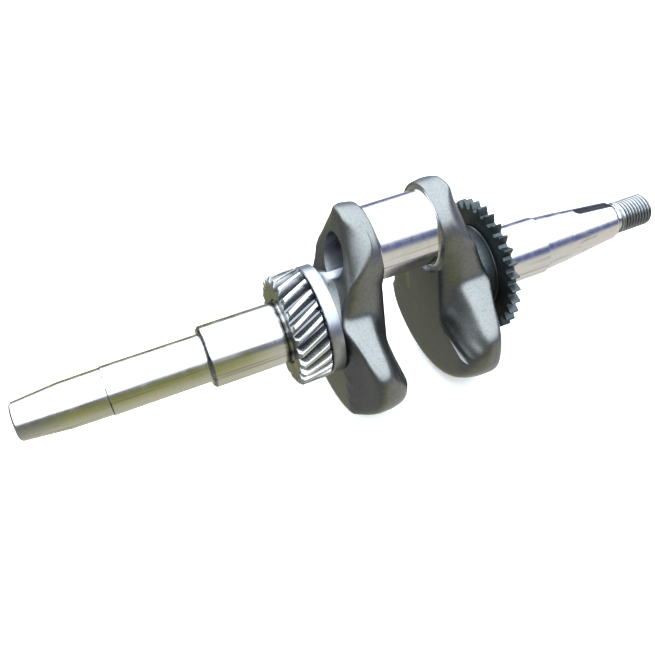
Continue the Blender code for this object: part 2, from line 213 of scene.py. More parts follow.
class Nodes:
    """A material's node tree, with short calls for the few nodes that these materials use."""

    def __init__(self, name):
        self.material = bpy.data.materials.new(name)
        self.material.use_nodes = True
        self.tree = self.material.node_tree
        self.shader = self.tree.nodes["Principled BSDF"]

    def add(self, kind, **settings):
        node = self.tree.nodes.new(kind)
        for key, value in settings.items():
            if key in node.inputs:
                node.inputs[key].default_value = value
            else:
                setattr(node, key, value)
        return node

    def link(self, source, target):
        self.tree.links.new(source, target)

    def place(self, scale=(1.0, 1.0, 1.0)):
        """The object's own coordinates, stretched."""
        where = self.add("ShaderNodeTexCoord")
        mapping = self.add("ShaderNodeMapping")
        mapping.inputs["Scale"].default_value = scale
        self.link(where.outputs["Object"], mapping.inputs["Vector"])
        return mapping.outputs["Vector"]

    def noise(self, vector, scale, detail=4.0, rough=0.55):
        node = self.add("ShaderNodeTexNoise")
        node.inputs["Scale"].default_value = scale
        node.inputs["Detail"].default_value = detail
        node.inputs["Roughness"].default_value = rough
        self.link(vector, node.inputs["Vector"])
        return node.outputs["Fac"]

    def spread(self, source, low, high, from_low=0.3, from_high=0.7):
        node = self.add("ShaderNodeMapRange")
        node.inputs["From Min"].default_value = from_low
        node.inputs["From Max"].default_value = from_high
        node.inputs["To Min"].default_value = low
        node.inputs["To Max"].default_value = high
        self.link(source, node.inputs["Value"])
        return node.outputs["Result"]

    def blend(self, factor, first, second):
        node = self.add("ShaderNodeMix", data_type="RGBA")
        self.link(factor, node.inputs["Factor"])
        for socket, value in ((node.inputs[6], first), (node.inputs[7], second)):
            if isinstance(value, tuple):
                socket.default_value = (*value, 1.0)
            else:
                self.link(value, socket)
        return node.outputs[2]

    def bump(self, height, strength, distance, below=None):
        node = self.add("ShaderNodeBump")
        node.inputs["Strength"].default_value = strength
        node.inputs["Distance"].default_value = distance
        self.link(height, node.inputs["Height"])
        if below is not None:
            self.link(below, node.inputs["Normal"])
        return node.outputs["Normal"]

    def finish(self, colour, roughness, normal=None, metallic=1.0):
        self.shader.inputs["Metallic"].default_value = metallic
        self.link(colour, self.shader.inputs["Base Color"])
        self.link(roughness, self.shader.inputs["Roughness"])
        if normal is not None:
            self.link(normal, self.shader.inputs["Normal"])
        return self.material


def radius_from_axis(m, axis_z=0.0):
    """Distance of a point from the axis along X at height axis_z."""
    where = m.add("ShaderNodeTexCoord")
    flat = m.add("ShaderNodeVectorMath", operation="MULTIPLY_ADD")
    flat.inputs[1].default_value = (0.0, 1.0, 1.0)
    flat.inputs[2].default_value = (0.0, 0.0, -axis_z)
    m.link(where.outputs["Object"], flat.inputs[0])
    length = m.add("ShaderNodeVectorMath", operation="LENGTH")
    m.link(flat.outputs["Vector"], length.inputs[0])
    return length.outputs["Value"]


def near_steps(m, places):
    """1 close to the steps at these places along X, broken up by noise: the mask of the painted
    shade at the steps.
    """
    where = m.add("ShaderNodeTexCoord")
    split = m.add("ShaderNodeSeparateXYZ")
    m.link(where.outputs["Object"], split.inputs[0])
    total = None
    for x, reach in places:
        off = m.add("ShaderNodeMath", operation="SUBTRACT")
        m.link(split.outputs["X"], off.inputs[0])
        off.inputs[1].default_value = x
        size = m.add("ShaderNodeMath", operation="ABSOLUTE")
        m.link(off.outputs["Value"], size.inputs[0])
        close = m.spread(size.outputs["Value"], 1.0, 0.0, 0.4 * reach, reach)
        if total is not None:
            both = m.add("ShaderNodeMath", operation="MAXIMUM")
            m.link(total, both.inputs[0])
            m.link(close, both.inputs[1])
            close = both.outputs["Value"]
        total = close
    broken = m.spread(m.noise(m.place((0.3, 1.0, 1.0)), 260.0), 0.2, 1.0, 0.35, 0.6)
    product = m.add("ShaderNodeMath", operation="MULTIPLY")
    m.link(total, product.inputs[0])
    m.link(broken, product.inputs[1])
    return product.outputs["Value"]


def ground_steel():
    """Cylindrically ground steel: fine rings, drawn-out streaks, and painted shade at its steps.
    """
    m = Nodes("ground_steel")
    rings = m.noise(m.place((1.0, 0.012, 0.012)), 5200.0, 3.0, 0.7)
    streaks = m.noise(m.place((0.02, 1.0, 1.0)), 560.0, 4.0, 0.62)
    film = m.noise(m.place((1.0, 2.4, 2.4)), 38.0, 3.0)
    tint = m.blend(m.spread(film, 0.0, 1.0), (0.68, 0.67, 0.63), (0.62, 0.62, 0.67))
    worn = m.blend(m.spread(rings, 0.0, 0.25), tint, (0.48, 0.48, 0.46))
    where = m.add("ShaderNodeTexCoord")
    facing = m.add("ShaderNodeSeparateXYZ")
    m.link(where.outputs["Normal"], facing.inputs[0])
    square = m.add("ShaderNodeMath", operation="ABSOLUTE")
    m.link(facing.outputs["X"], square.inputs[0])
    amount = m.add("ShaderNodeMath", operation="MULTIPLY")
    m.link(m.spread(streaks, 0.0, 0.8, 0.55, 0.72), amount.inputs[0])
    m.link(m.spread(square.outputs["Value"], 1.0, 0.0, 0.5, 0.9), amount.inputs[1])
    drawn = m.blend(amount.outputs["Value"], worn, (0.27, 0.25, 0.28))
    steps = [
        (-TAKEOFF_STEP_X, 0.35 * MM),
        (-TAKEOFF_JOURNAL_X + 0.6 * EDGE, 1.1 * MM),
        (TIMING_LOW.x - EDGE, 2.2 * MM),
        (GOVERNOR_HIGH.x + EDGE, 2.2 * MM),
        (TAPER_END_X + EDGE, 1.0 * MM),
    ]
    # Painted shade: near-black bands at the shaft's steps and beside the gears' faces.
    colour = m.blend(near_steps(m, steps), drawn, (0.075, 0.07, 0.075))
    roughness = m.spread(m.noise(m.place((1.0, 0.3, 0.3)), 240.0), 0.15, 0.26)
    relief = m.bump(rings, 0.10, 0.02 * MM)
    return m.finish(colour, roughness, relief)


def turned_steel():
    """Faces cut on a lathe or by a drill, with a coarser mark than grinding leaves."""
    m = Nodes("turned_steel")
    marks = m.noise(m.place((1.0, 0.05, 0.05)), 2600.0, 2.0, 0.6)
    cloud = m.noise(m.place(), 160.0, 4.0)
    colour = m.blend(m.spread(cloud, 0.0, 1.0), (0.37, 0.385, 0.43), (0.26, 0.27, 0.30))
    roughness = m.spread(cloud, 0.26, 0.40)
    return m.finish(colour, roughness, m.bump(marks, 0.2, 0.05 * MM))


def soiled_steel():
    """Threaded steel, with painted shade in its grooves."""
    m = Nodes("soiled_steel")
    grooves = radius_from_axis(m)
    cloud = m.noise(m.place(), 420.0, 4.0)
    thread_tone = m.blend(m.spread(cloud, 0.0, 1.0), (0.50, 0.52, 0.56), (0.36, 0.37, 0.38))
    low, high = THREAD_R - 0.75 * THREAD_DEPTH, THREAD_R - 0.1 * THREAD_DEPTH
    crest = m.spread(grooves, 0.0, 1.0, low, high)
    # Painted shade: near-black in the thread's grooves, the thread's own tone on its crests.
    colour = m.blend(crest, (0.10, 0.10, 0.11), thread_tone)
    return m.finish(colour, m.spread(cloud, 0.25, 0.4), m.bump(cloud, 0.1, 0.05 * MM))


def keyway_steel():
    """The keyway's cut walls, dark as painted shade in the slot."""
    m = Nodes("keyway_steel")
    marks = m.noise(m.place((0.2, 1.0, 1.0)), 1500.0, 3.0)
    # Painted shade: a dark steel tone over the whole slot, where the recess is shaded.
    colour = m.blend(m.spread(marks, 0.0, 1.0), (0.13, 0.135, 0.15), (0.22, 0.225, 0.24))
    return m.finish(colour, m.spread(marks, 0.4, 0.55), m.bump(marks, 0.2, 0.05 * MM))


def forged_scale():
    """Shot-blasted forging skin: dark, warm grey and finely gritty."""
    m = Nodes("forged_scale")
    grit = m.noise(m.place(), 3000.0, 4.0, 0.7)
    pits = m.noise(m.place(), 1100.0, 4.0, 0.6)
    cloud = m.noise(m.place(), 90.0, 3.0)
    base = m.blend(m.spread(cloud, 0.0, 1.0), (0.188, 0.194, 0.194), (0.150, 0.153, 0.150))
    speckle = m.blend(m.spread(grit, 0.0, 1.0, 0.35, 0.7), base, (0.228, 0.236, 0.240))
    colour = m.blend(m.spread(pits, 0.0, 0.5, 0.45, 0.72), speckle, (0.105, 0.105, 0.10))
    roughness = m.spread(grit, 0.31, 0.42)
    coarse = m.bump(pits, 0.16, 0.08 * MM)
    return m.finish(colour, roughness, m.bump(grit, 0.16, 0.04 * MM, coarse))


def gear_steel():
    """Hobbed tooth steel: bright lands, painted shade in the grooves, and cutting marks."""
    m = Nodes("gear_steel")
    marks = m.noise(m.place((0.25, 1.0, 1.0)), 1400.0, 3.0, 0.6)
    cloud = m.noise(m.place(), 190.0, 4.0)
    bright = m.blend(m.spread(cloud, 0.0, 1.0), (0.66, 0.67, 0.68), (0.50, 0.50, 0.52))
    # Painted shade: dark colour from the tooth roots up to near the tips, bright lands above.
    depth = radius_from_axis(m)
    floor_r = TIMING_TIP_R - 0.9 * TIMING_TOOTH_DEPTH
    edge_r = TIMING_TIP_R - 0.12 * TIMING_TOOTH_DEPTH
    inside = m.spread(depth, 0.0, 1.0, floor_r, edge_r)
    colour = m.blend(inside, (0.17, 0.175, 0.185), bright)
    roughness = m.spread(cloud, 0.2, 0.34)
    return m.finish(colour, roughness, m.bump(marks, 0.18, 0.04 * MM))


def black_oxide():
    """Black oxide on steel, with an oily blue-green sheen."""
    m = Nodes("black_oxide")
    grain = m.noise(m.place(), 900.0, 4.0, 0.65)
    cloud = m.noise(m.place(), 120.0, 3.0)
    colour = m.blend(m.spread(cloud, 0.0, 1.0), (0.036, 0.044, 0.049), (0.075, 0.087, 0.093))
    roughness = m.spread(grain, 0.3, 0.48)
    return m.finish(colour, roughness, m.bump(grain, 0.25, 0.05 * MM), metallic=0.85)


def pale_floor():
    m = Nodes("pale_floor")
    cloud = m.noise(m.place(), 6.0, 2.0)
    colour = m.blend(m.spread(cloud, 0.0, 1.0), (0.80, 0.80, 0.80), (0.82, 0.82, 0.82))
    m.shader.inputs["Emission Color"].default_value = (1.0, 1.0, 1.0, 1.0)
    m.shader.inputs["Emission Strength"].default_value = FLOOR_GLOW
    return m.finish(colour, m.spread(cloud, 0.85, 0.95), metallic=0.0)


# ---------------------------------------------------------------- mesh helpers


def skin(name, rings, materials, closed_ends=True, wrap=False):
    """A mesh through rings of points, an array of rings x steps x 3."""
    count, steps = rings.shape[:2]
    points = rings.reshape(-1, 3).tolist()
    spans = count if wrap else count - 1
    first = np.arange(spans * steps).reshape(spans, steps)
    along = (first + steps) % (count * steps)
    quads = np.stack(
        [first, np.roll(first, -1, 1), np.roll(along, -1, 1), along], axis=-1
    ).reshape(-1, 4)
    faces = quads.tolist()
    if closed_ends and not wrap:
        faces.append(list(range(steps))[::-1])
        faces.append(list(range((count - 1) * steps, count * steps)))
    mesh = bpy.data.meshes.new(name)
    mesh.from_pydata(points, [], faces)
    mesh.update()
    for material in materials:
        mesh.materials.append(material)
    thing = bpy.data.objects.new(name, mesh)
    bpy.context.scene.collection.objects.link(thing)
    face_out(thing)
    return thing


def face_out(thing):
    """Turns a closed mesh's faces outwards."""
    mesh = thing.data
    corners = np.zeros(len(mesh.loops), np.int32)
    mesh.loops.foreach_get("vertex_index", corners)
    mesh.calc_loop_triangles()
    triangles = np.zeros(len(mesh.loop_triangles) * 3, np.int32)
    mesh.loop_triangles.foreach_get("vertices", triangles)
    place = np.zeros(len(mesh.vertices) * 3)
    mesh.vertices.foreach_get("co", place)
    p = place.reshape(-1, 3)[triangles.reshape(-1, 3)]
    if np.einsum("ij,ij->", p[:, 0], np.cross(p[:, 1], p[:, 2])) < 0:
        mesh.flip_normals()


def rounded(profile, radius):
    """The profile, (x, radius) points, with each corner turned into a small arc."""
    points = [np.array(p, float) for p in profile]
    out = [points[0]]
    for before, here, after in zip(points, points[1:], points[2:]):
        back, on = before - here, after - here
        lengths = np.linalg.norm(back), np.linalg.norm(on)
        cut = min(radius, 0.45 * min(lengths))
        start, end = here + back * cut / lengths[0], here + on * cut / lengths[1]
        for t in (0.0, 0.25, 0.5, 0.75, 1.0):
            out.append((1 - t) ** 2 * start + 2 * t * (1 - t) * here + t**2 * end)
    out.append(points[-1])
    return [tuple(p) for p in out]


def turned(name, profile, materials, steps=ROUND_STEPS, centre_z=0.0, soften=CORNER_SOFTENING):
    angles = np.linspace(0, TURN, steps, endpoint=False)
    smooth = np.array(rounded(profile, soften))
    rings = np.empty((len(smooth), steps, 3))
    rings[..., 0] = smooth[:, :1]
    rings[..., 1] = smooth[:, 1:] * np.cos(angles)
    rings[..., 2] = smooth[:, 1:] * np.sin(angles) + centre_z
    return skin(name, rings, materials)


def combine(target, other, operation):
    """Applies a boolean at once, keeping each piece's own material on its own faces."""
    modifier = target.modifiers.new(other.name, "BOOLEAN")
    modifier.operation = operation
    modifier.solver = "MANIFOLD"
    modifier.object = other
    if hasattr(modifier, "material_mode"):
        modifier.material_mode = "TRANSFER"
    graph = bpy.context.evaluated_depsgraph_get()
    result = bpy.data.meshes.new_from_object(target.evaluated_get(graph))
    target.modifiers.remove(modifier)
    old = target.data
    target.data = result
    bpy.data.meshes.remove(old)
    bpy.data.objects.remove(other)


# ---------------------------------------------------------------- webs


def soft_least(values, blend):
    stack = np.stack(np.broadcast_arrays(*values))
    least = stack.min(0)
    return least - blend * np.log(np.exp((least - stack) / blend).sum(0))


def soft_most(values, blend):
    return -soft_least([-v for v in values], blend)


def to_circle(down, centre_z, radius):
    """How far rays from the web's centre go before they leave a circle, or 0 where they miss."""
    along = down * (centre_z - WEB_CENTRE_Z)
    square = radius**2 - (centre_z - WEB_CENTRE_Z) ** 2 + along**2
    return np.where(square > 0, np.maximum(along + np.sqrt(np.maximum(square, 0)), 0), 0)


def outline(angles, inset, drop):
    """The web's edge from its centre at these angles, as the frame's forging has it."""
    sideways = np.maximum(np.abs(np.cos(angles)), 1e-6)
    up = np.sin(angles)
    far = 4 * WEIGHT_R
    head = to_circle(up, THROW, HEAD_R - 0.3 * inset)
    neck_end = np.where(up > 0, THROW - WEB_CENTRE_Z, HUB_R)
    neck = np.minimum((NECK_HALF - inset) / sideways, neck_end / np.maximum(np.abs(up), 1e-6))
    slope = SHOULDER_SLOPE + (SHOULDER_LOW_SLOPE - SHOULDER_SLOPE) * drop
    height = SHOULDER_Z - SHOULDER_DROP * drop - 0.4 * inset
    rise = up + slope * sideways
    reach = (height + slope * SHOULDER_Y - WEB_CENTRE_Z) / np.maximum(rise, 1e-6)
    shoulder = np.where(rise > 1e-6, np.minimum(reach, far), far)
    flank = np.minimum((WEIGHT_HALF - 2 * inset) / sideways, far)
    rim = to_circle(up, 0.0, WEIGHT_R - inset)
    weight = soft_least([shoulder, flank, rim], OUTLINE_BLEND)
    return soft_most([head, neck, weight], 0.6 * OUTLINE_BLEND)


def outer_face(y, z):
    hollow = np.minimum(np.exp((HUB_R - np.abs(y)) / HUB_FADE), 1.0)
    below_pin = NECK_BEND_ROUND * np.log1p(np.exp((THROW - z) / NECK_BEND_ROUND))
    head = HEAD_OUTER_X + HEAD_SLOPE * (THROW - z) + NECK_EXTRA_SLOPE * below_pin
    across = HEAD_BEVEL_ACROSS * (HEAD_R - np.abs(y))
    bevel = HEAD_BEVEL_X + across - HEAD_BEVEL_UP * (z - THROW)
    return soft_least([WEIGHT_OUTER_X + HUB_RISE * hollow, head, bevel], 0.5 * MM)


def web_controls(inner_x):
    """The web's loops, as control rows of (x, y, z) for each angle."""
    angles = np.linspace(0, TURN, WEB_ROUND_STEPS, endpoint=False)

    def loop(inset, drop, place, shrink=1.0):
        reach = outline(angles, inset, drop) * shrink
        y, z = reach * np.cos(angles), WEB_CENTRE_Z + reach * np.sin(angles)
        return np.stack([place(y, z), y, z], axis=-1)

    def level(share):
        return lambda y, z: np.full_like(y, inner_x + share * (SHOULDER_BEVEL_X - inner_x))

    def behind(depth, furthest=1.0):
        return lambda y, z: np.minimum(outer_face(y, z) - depth, furthest)

    rows = [loop(INNER_BEVEL, 1.0, level(0.0), shrink) for shrink in INNER_FACE_SHARES]
    for inset, drop, share in INNER_BEVEL_LOOPS:
        rows.append(loop(inset * INNER_BEVEL, drop, level(share)))
    rows.append(loop(0.0, 0.0, behind(1.2 * OUTER_ROUND, SHOULDER_BEVEL_X)))
    for turn in OUTER_ROUND_TURNS:
        inset = OUTER_ROUND * (1 - math.cos(math.radians(turn)))
        depth = OUTER_ROUND * (1 - math.sin(math.radians(turn)))
        rows.append(loop(inset, 0.0, behind(depth)))
    for shrink in OUTER_FACE_SHARES:
        rows.append(loop(OUTER_ROUND, 0.0, outer_face, shrink))
    return np.stack(rows)


def build_web(name, inner_x, side, materials):
    """One web, its edges rounded as a forging's are, with the skin's own unevenness."""
    rows = web_controls(inner_x)
    steps = np.linalg.norm(np.diff(rows, axis=0), axis=2).mean(1)
    marks = np.concatenate([[0], np.cumsum(steps)])
    even = np.linspace(0, marks[-1], WEB_SECTION_STEPS)
    at = np.clip(np.searchsorted(marks, even, side="right") - 1, 0, len(marks) - 2)
    share = ((even - marks[at]) / steps[at])[:, None, None]
    rings = rows[at] * (1 - share) + rows[at + 1] * share
    for _ in range(FORGING_SOFTNESS):
        rings[1:-1] = 0.25 * rings[:-2] + 0.5 * rings[1:-1] + 0.25 * rings[2:]
    rings[..., 0] *= side
    web = skin(name, rings, materials)
    roughen(web)
    return web


def roughen(web):
    """Sinks each point by a little of two sizes of noise, never outwards."""
    mesh = web.data
    count = len(mesh.vertices)
    places, normals = np.zeros(count * 3), np.zeros(count * 3)
    mesh.vertices.foreach_get("co", places)
    mesh.vertices.foreach_get("normal", normals)
    places = places.reshape(-1, 3)
    depth = np.empty(count)
    for i, p in enumerate(places):
        wide = noise.noise(Vector(p) * WIDE_NOISE)
        fine = noise.noise(Vector(p) * FINE_NOISE)
        depth[i] = 0.5 + 0.32 * wide + 0.18 * fine
    places -= normals.reshape(-1, 3) * (SCALE_RELIEF * depth)[:, None]
    mesh.vertices.foreach_set("co", places.ravel())


# ---------------------------------------------------------------- shafts


def takeoff_profile():
    seat = -TIMING_LOW.x
    return [
        (-TAKEOFF_END_X, AXIS_R),
        (-TAKEOFF_END_X, 2.2 * MM),
        (-TAKEOFF_END_X, TAKEOFF_END_R - EDGE),
        (-TAKEOFF_END_X + EDGE, TAKEOFF_END_R),
        (-TAKEOFF_TAPER_X, TAKEOFF_TAPER_R),
        (-TAKEOFF_STEP_X - 0.3 * EDGE, TAKEOFF_REDUCED_R),
        (-TAKEOFF_STEP_X, TAKEOFF_SHAFT_R),
        (-TAKEOFF_JOURNAL_X - 0.6 * EDGE, TAKEOFF_SHAFT_R),
        (-TAKEOFF_JOURNAL_X, TAKEOFF_SHAFT_R + 0.2 * EDGE),
        (-TAKEOFF_JOURNAL_X, JOURNAL_R - 1.2 * EDGE),
        (-TAKEOFF_JOURNAL_X + 1.2 * EDGE, JOURNAL_R),
        (-seat - 1.6 * EDGE, JOURNAL_R),
        (-seat - 1.2 * EDGE, JOURNAL_R - 0.25 * EDGE),
        (-seat - 0.2 * EDGE, JOURNAL_R - 0.25 * EDGE),
        (-seat + EDGE, GEAR_SEAT_R),
        (-TIMING_COLLAR_X + EDGE, GEAR_SEAT_R),
        (-TIMING_COLLAR_X + EDGE, AXIS_R),
    ]


def timing_collar_profile():
    """The timing gear's collar, its back cone run on into the hub."""
    start = -WEIGHT_OUTER_X - HUB_RISE
    depth = (1 - COLLAR_BACK_SHARE) * HUB_RISE
    lean = (TIMING_COLLAR_R - HUB_R) / depth
    inside = start + COLLAR_RUN_ON * depth
    return [
        (-TIMING_COLLAR_X, AXIS_R),
        (-TIMING_COLLAR_X, TIMING_COLLAR_R - 0.5 * EDGE),
        (-TIMING_COLLAR_X + 0.5 * EDGE, TIMING_COLLAR_R),
        (start, TIMING_COLLAR_R),
        (inside, TIMING_COLLAR_R - COLLAR_RUN_ON * depth * lean),
        (inside, AXIS_R),
    ]


def hub_profile():
    """The forged hub between the timing gear's collar and the web."""
    start = -WEIGHT_OUTER_X - HUB_RISE - EDGE
    return [
        (start, AXIS_R),
        (start, HUB_R),
        (-WEIGHT_OUTER_X, HUB_R - 0.5 * EDGE),
        (-WEIGHT_OUTER_X + WEB_OVERLAP, HUB_R - 2 * EDGE),
        (-WEIGHT_OUTER_X + WEB_OVERLAP, AXIS_R),
    ]


def governor_collar_profile():
    inside = WEIGHT_OUTER_X - WEB_OVERLAP
    return [
        (inside, AXIS_R),
        (inside, GOVERNOR_COLLAR_R - 2 * EDGE),
        (WEIGHT_OUTER_X + 0.5 * HUB_RISE, GOVERNOR_COLLAR_R),
        (GOVERNOR_COLLAR_X - 0.5 * EDGE, GOVERNOR_COLLAR_R),
        (GOVERNOR_COLLAR_X, GOVERNOR_COLLAR_R - 0.5 * EDGE),
        (GOVERNOR_COLLAR_X, AXIS_R),
    ]


def flywheel_profile():
    seat = GOVERNOR_HIGH.x
    return [
        (WEIGHT_OUTER_X, AXIS_R),
        (WEIGHT_OUTER_X, GEAR_SEAT_R),
        (seat - EDGE, GEAR_SEAT_R),
        (seat - 0.2 * EDGE, JOURNAL_R - 0.25 * EDGE),
        (seat + 1.2 * EDGE, JOURNAL_R - 0.25 * EDGE),
        (seat + 1.6 * EDGE, JOURNAL_R),
        (FLYWHEEL_JOURNAL_X - 0.5 * EDGE, JOURNAL_R),
        (FLYWHEEL_JOURNAL_X, TAPER_START_R),
        (TAPER_STEP_X - 0.3 * EDGE, TAPER_STEP_R + 0.2 * EDGE),
        (TAPER_STEP_X - 0.2 * EDGE, TAPER_STEP_R),
        (TAPER_STEP_X + 0.2 * EDGE, TAPER_STEP_R),
        (TAPER_END_X - EDGE, TAPER_END_R + 0.1 * EDGE),
        (TAPER_END_X, TAPER_END_R - 0.4 * EDGE),
        (TAPER_END_X + EDGE, THREAD_R + 0.2 * EDGE),
        (TAPER_END_X + 1.5 * EDGE, THREAD_RELIEF_R),
        (THREAD_START_X - 0.3 * EDGE, THREAD_RELIEF_R),
        (THREAD_START_X - 0.3 * EDGE, AXIS_R),
    ]


def thread_rings(steps=THREAD_STEPS, per_pitch=10):
    """The screw thread as rings whose radius follows the helix, chamfered at its end."""
    count = round((THREAD_END_X - THREAD_START_X) / THREAD_PITCH * per_pitch)
    xs = np.linspace(THREAD_START_X, THREAD_END_X, count + 1)[:, None]
    angles = np.linspace(0, TURN, steps, endpoint=False)[None]
    turns = (xs - THREAD_START_X) / THREAD_PITCH - angles / TURN
    wave = np.abs(2 * (turns - np.floor(turns)) - 1)
    tooth = np.clip((wave - 0.1) / 0.8, 0, 1)
    run_in = np.clip((xs - THREAD_START_X) / THREAD_PITCH, 0, 1)
    end = THREAD_R - np.maximum(xs - (THREAD_END_X - 1.5 * EDGE), 0)
    radius = np.minimum(THREAD_R - THREAD_DEPTH * tooth * run_in, end)
    return np.stack(
        [np.broadcast_to(xs, radius.shape), radius * np.cos(angles), radius * np.sin(angles)],
        axis=-1,
    )


def build_thread(materials):
    """The threaded end, started a little inside the shaft that it joins."""
    thread = thread_rings()
    root = np.array([1.0, 0.85, 0.85])
    start = thread[:1] * root - np.array([EDGE, 0.0, 0.0])
    centre = np.array([1.0, 0.01, 0.01])
    rings = [start * centre, start, thread, thread[-1:] * centre]
    return skin("threaded_end", np.concatenate(rings), materials)


def keyway_cutter(materials):
    """A round-ended slot along the taper's top, which ends in the groove before the thread."""
    half = KEYWAY_WIDTH / 2
    length = KEYWAY_END_X - KEYWAY_START_X
    turns = -math.pi / 2 - np.linspace(0, math.pi, KEYWAY_END_STEPS)
    x = np.concatenate([[length, length], half + half * np.cos(turns)])
    y = np.concatenate([[half, -half], half * np.sin(turns)])
    rings = np.stack([np.stack([x, y, np.full_like(x, z)], -1) for z in (0.0, KEYWAY_CUT_HEIGHT)])
    cutter = skin("keyway_cut", rings, materials)
    slope = (TAPER_STEP_R - TAPER_END_R) / (TAPER_END_X - TAPER_STEP_X)
    start_r = TAPER_STEP_R - slope * (KEYWAY_START_X - TAPER_STEP_X)
    tilt = Matrix.Rotation(math.atan(slope), 4, "Y")
    shift = Matrix.Translation((KEYWAY_START_X, 0.0, start_r - KEYWAY_DEPTH))
    cutter.data.transform(shift @ tilt)
    return cutter


def pin_profile():
    arc = [
        (
            PIN_HALF - PIN_FILLET + PIN_FILLET * math.sin(turn),
            PIN_R + PIN_FILLET * (1 - math.cos(turn)),
        )
        for turn in np.linspace(0, math.pi / 2, PIN_FILLET_STEPS)
    ]
    end = PIN_HALF + PIN_OVERLAP
    half = arc + [(end, PIN_R + PIN_FILLET), (end, AXIS_R)]
    return [(-x, r) for x, r in reversed(half)] + half


def bore_profile():
    return [
        (-WEIGHT_OUTER_X - BORE_START_SHARE * HUB_RISE, AXIS_R),
        (-WEIGHT_OUTER_X - BORE_START_SHARE * HUB_RISE, BORE_R),
        (BORE_BOTTOM_X, BORE_R),
        (BORE_BOTTOM_X + DRILL_TIP, AXIS_R),
    ]


def mouth_chamfer(materials):
    """A cone, square to the sloping face, that breaks the drilled hole's edge."""
    high, low = outer_face(np.zeros(2), THROW + BORE_R * np.array([1.0, -1.0]))
    mouth = (high + low) / 2
    profile = [
        (0.0, AXIS_R),
        (0.0, BORE_R - CONE_LEAD),
        (BORE_CHAMFER + CONE_LEAD, BORE_R + BORE_CHAMFER),
        (CONE_LENGTH, BORE_R + BORE_CHAMFER + CONE_FLARE),
        (CONE_LENGTH, AXIS_R),
    ]
    cone = turned("mouth_chamfer", profile, materials, CONE_STEPS, soften=0.0)
    lean = math.atan2(low - high, 2 * BORE_R)
    aim = Matrix.Rotation(math.pi + lean, 4, "Y")
    outwards = Vector((-math.cos(lean), 0, math.sin(lean)))
    start = Vector((-mouth, 0.0, THROW)) - CONE_LEAD * outwards
    cone.data.transform(Matrix.Translation(start) @ aim)
    return cone


def build_forging(ground, cut, scale, thread, key, black):
    """The whole forging as one mesh: rough webs, turned faces, ground journals."""
    body = build_web("crankshaft_body", FLYWHEEL_WEB_INNER_X, 1, [scale])
    combine(body, build_web("takeoff_web", TAKEOFF_WEB_INNER_X, -1, [scale]), "UNION")
    combine(body, turned("takeoff_shaft", takeoff_profile(), [ground]), "UNION")
    combine(body, turned("hub", hub_profile(), [scale]), "UNION")
    combine(body, turned("timing_collar", timing_collar_profile(), [cut]), "UNION")
    # Painted shade: the governor collar, between the web and the governor gear, takes black oxide
    # over its own dark forging skin.
    combine(body, turned("governor_collar", governor_collar_profile(), [black]), "UNION")
    combine(body, turned("flywheel_shaft", flywheel_profile(), [ground]), "UNION")
    combine(body, build_thread([thread]), "UNION")
    thrust = [
        (-PIN_HALF, AXIS_R),
        (-PIN_HALF, THRUST_FACE_R),
        (PIN_HALF, THRUST_FACE_R),
        (PIN_HALF, AXIS_R),
    ]
    clearance = turned("thrust_faces", thrust, [cut], centre_z=THROW, soften=0.0)
    combine(body, clearance, "DIFFERENCE")
    pin = turned("crankpin", pin_profile(), [ground], centre_z=THROW, soften=0.0)
    combine(body, pin, "UNION")
    bore = turned("crankpin_bore", bore_profile(), [cut], centre_z=THROW, soften=0.0)
    combine(body, bore, "DIFFERENCE")
    combine(body, mouth_chamfer([cut]), "DIFFERENCE")
    combine(body, keyway_cutter([key]), "DIFFERENCE")
    return body


# ---------------------------------------------------------------- gears


def tooth_curve(teeth, tip_r, depth, tip_share, root_share, per_tooth=32):
    """(radius, angle) arrays of a gear's edge: flat tips and roots with small rounds between."""
    share = (np.arange(teeth * per_tooth) % per_tooth) / per_tooth
    place = np.abs(share - 0.5) * 2
    flank = (place - tip_share) / (1 - tip_share - root_share)
    above = soft_most([flank, np.zeros_like(flank)], FLANK_BLEND)
    eased = soft_least([above, np.ones_like(flank)], FLANK_BLEND)
    radius = tip_r - depth * np.clip(eased, 0, 1)
    pitch = TURN / teeth
    angles = (np.arange(teeth * per_tooth) / per_tooth - 0.5) * pitch
    return radius, angles


def gear(name, radius, angles, stations, face_r, bore_r, materials):
    """A toothed ring; stations are (x, twist, cap on the radius)."""
    rings = []
    for x, twist, cap in stations:
        r = np.minimum(radius, cap)
        a = angles + twist
        rings.append(np.stack([np.full_like(r, x), r * np.cos(a), r * np.sin(a)], -1))
    for x, twist, bore in (
        (stations[-1][0], stations[-1][1], face_r),
        (stations[-1][0], 0.0, bore_r + GEAR_BORE_CHAMFER),
        (stations[-1][0] - GEAR_BORE_CHAMFER, 0.0, bore_r),
        (stations[0][0] + GEAR_BORE_CHAMFER, 0.0, bore_r),
        (stations[0][0], 0.0, bore_r + GEAR_BORE_CHAMFER),
    ):
        a = angles + twist
        r = np.full_like(radius, bore)
        rings.append(np.stack([np.full_like(r, x), r * np.cos(a), r * np.sin(a)], -1))
    return skin(name, np.stack(rings), materials, closed_ends=False, wrap=True)


